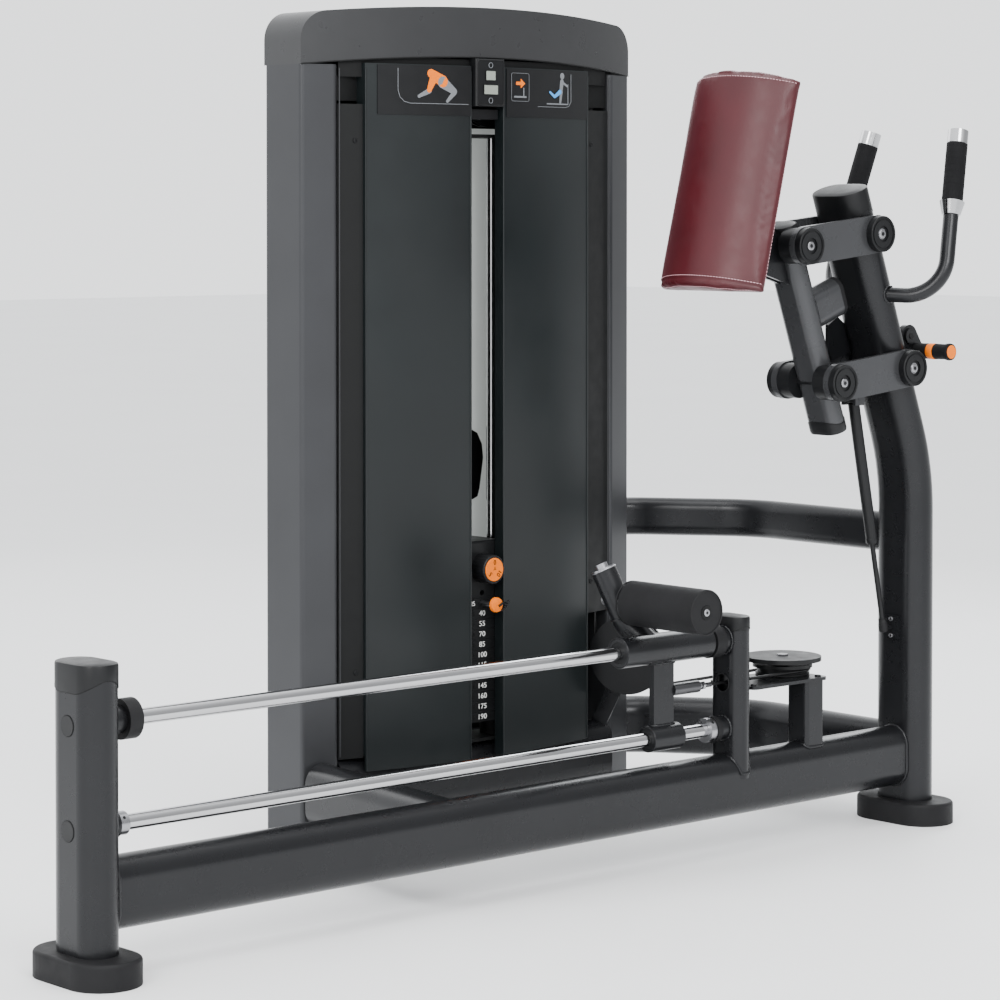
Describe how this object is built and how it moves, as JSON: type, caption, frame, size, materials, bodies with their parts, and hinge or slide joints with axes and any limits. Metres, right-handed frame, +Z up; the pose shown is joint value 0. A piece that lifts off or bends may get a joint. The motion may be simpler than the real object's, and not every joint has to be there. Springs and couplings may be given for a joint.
{
  "type": "hip thrust machine",
  "caption": "Standing glute press: a roller carriage on two guide rods pulls a cable-driven weight stack, with a height-adjustable chest pad and handles.",
  "frame": {"origin": "floor level at the middle of the left post's foot", "axes": "+X along the base beam to the handle column, +Y back towards the weight tower, +Z up"},
  "size_m": [2.02, 0.8283, 1.548],
  "materials": {
    "frame_paint": "satin metallic charcoal",
    "stack_paint": "satin black",
    "shroud": "fine matt",
    "black_plastic": "satin",
    "rubber": "matt",
    "chrome": "polished",
    "steel": "zinc plated",
    "pad_vinyl": "pearl upholstery vinyl",
    "orange": "gloss"
  },
  "bodies": {
    "frame": {"left_post": "frame_paint", "base_beam": "frame_paint", "right_column": "frame_paint", "right_base_tube": "frame_paint", "upper_brace": "frame_paint", "tower_base_frame": "frame_paint", "rod_bracket": "frame_paint", "welded_bosses": "frame_paint", "pulley_stand": "frame_paint", "tower_pulley_bracket": "frame_paint", "tower_uprights": "frame_paint", "tower_inner_frame": "stack_paint", "handle_tubes": "frame_paint", "column_brackets": "frame_paint", "tube_caps": "black_plastic", "rubber_feet": "rubber", "guide_rods": "chrome", "rubber_bumpers": "rubber", "shaft_collars": "steel", "pulley_guard": "stack_paint", "pivot_bolts": "steel", "cable_return": "black_plastic", "top_cap": "shroud", "left_front_shroud": "shroud", "right_front_shroud": "shroud", "back_and_side_trims": "shroud", "label_panels": "black_plastic", "display_frame": "black_plastic", "weight_plates": "stack_paint", "handle_grips": "rubber", "handle_bright_caps": "chrome"},
    "carriage": {"carriage_frame": "frame_paint", "linear_bearings": "black_plastic", "roller_arm": "frame_paint", "roller_shaft": "steel", "cable_terminal": "steel", "cable_drive": "black_plastic"},
    "roller": {"foot_roller": "rubber"},
    "cable_wheel": {"cable_pulley": "black_plastic"},
    "tower_wheel": {"tower_pulley": "black_plastic"},
    "top_wheel_right": {"top_pulley_right": "black_plastic"},
    "top_wheel_left": {"top_pulley_left": "black_plastic"},
    "stack": {"lifted_plates": "stack_paint", "selector_stem": "chrome", "addon_housing": "stack_paint", "cable_drop": "black_plastic"},
    "pin": {"selector_pin": "orange"},
    "dial": {"selector_dial": "orange"},
    "lower_link": {"lower_link_pair": "frame_paint"},
    "upper_link": {"upper_links": "frame_paint"},
    "pad_arm": {"front_upright": "frame_paint", "front_upright_caps": "rubber", "front_pivots": "black_plastic", "pad_bracket": "frame_paint", "pad_board": "black_plastic", "chest_pad": "pad_vinyl"},
    "spring_shaft": {"gas_spring_rod": "chrome"},
    "spring_tube": {"gas_spring_body": "stack_paint"},
    "lever": {"release_lever": "frame_paint", "lever_grip_set": "rubber"}
  },
  "joints": [
    {"name": "carriage_slide", "type": "slide", "parent": "frame", "child": "carriage", "axis": [-1, 0, 0], "range_m": [0, 0.72], "deforming": ["cable_drive"]},
    {"name": "roller_spin", "type": "hinge", "parent": "carriage", "child": "roller", "pos_m": [1.175, 0, 0.477], "axis": [0, 1, 0], "continuous": true},
    {"name": "stack_lift", "type": "slide", "parent": "frame", "child": "stack", "axis": [0, 0, 1], "range_m": [0, 0.72], "deforming": ["cable_drop"]},
    {"name": "cable_pulley_spin", "type": "hinge", "parent": "frame", "child": "cable_wheel", "pos_m": [1.607, 0.05, 0.314], "axis": [0, 0, 1], "range_deg": [-830.1, 0]},
    {"name": "tower_pulley_spin", "type": "hinge", "parent": "frame", "child": "tower_wheel", "pos_m": [1.5, 0.356, 0.316], "axis": [0.8817, 0.4717, 0], "range_deg": [-620.7, 0]},
    {"name": "top_pulley_right_spin", "type": "hinge", "parent": "frame", "child": "top_wheel_right", "pos_m": [1.4204, 0.433, 1.385], "axis": [0, 1, 0], "range_deg": [0, 864.4]},
    {"name": "top_pulley_left_spin", "type": "hinge", "parent": "frame", "child": "top_wheel_left", "pos_m": [1.198, 0.433, 1.385], "axis": [0, 1, 0], "range_deg": [0, 864.4]},
    {"name": "pin_pull", "type": "slide", "parent": "stack", "child": "pin", "axis": [0, -1, 0], "range_m": [0, 0.1]},
    {"name": "dial_turn", "type": "hinge", "parent": "stack", "child": "dial", "pos_m": [1.15, 0.376, 0.509], "axis": [0, -1, 0], "range_deg": [0, 240]},
    {"name": "pad_height", "type": "hinge", "parent": "frame", "child": "lower_link", "pos_m": [1.829, 0, 0.876], "axis": [0, 1, 0], "range_deg": [-20, 12]},
    {"name": "upper_link_swing", "type": "hinge", "parent": "frame", "child": "upper_link", "pos_m": [1.7365, 0, 1.1305], "axis": [0, 1, 0], "range_deg": [-21, 13]},
    {"name": "pad_arm_level", "type": "hinge", "parent": "lower_link", "child": "pad_arm", "pos_m": [1.632, 0, 0.855], "axis": [0, 1, 0], "range_deg": [-13, 21]},
    {"name": "spring_swing", "type": "hinge", "parent": "frame", "child": "spring_shaft", "pos_m": [1.836, 0, 0.374], "axis": [0, 1, 0], "range_deg": [-1.85, 2.75]},
    {"name": "spring_stroke", "type": "slide", "parent": "spring_shaft", "child": "spring_tube", "axis": [-0.1965, 0, 0.9805], "range_m": [-0.0321, 0.0201]},
    {"name": "lever_pull", "type": "hinge", "parent": "frame", "child": "lever", "pos_m": [1.872, 0, 0.934], "axis": [0, -1, 0], "range_deg": [0, 20], "stiffness_Nm_per_rad": 3, "springref_deg": -14.32}
  ],
  "couplings": [
    {"joint": "stack_lift", "follows": "carriage_slide", "ratio": 1},
    {"joint": "cable_pulley_spin", "follows": "carriage_slide", "rad_per_m": -20},
    {"joint": "tower_pulley_spin", "follows": "carriage_slide", "rad_per_m": -14.925},
    {"joint": "top_pulley_right_spin", "follows": "carriage_slide", "rad_per_m": 20.833},
    {"joint": "top_pulley_left_spin", "follows": "carriage_slide", "rad_per_m": 20.833},
    {"joint": "upper_link_swing", "follows": "pad_height", "ratio": 1},
    {"joint": "pad_arm_level", "follows": "pad_height", "ratio": -1},
    {"joint": "spring_swing", "follows": "pad_height", "ratio": -0.1125},
    {"joint": "spring_stroke", "follows": "pad_height", "m_per_rad": 0.0863}
  ]
}
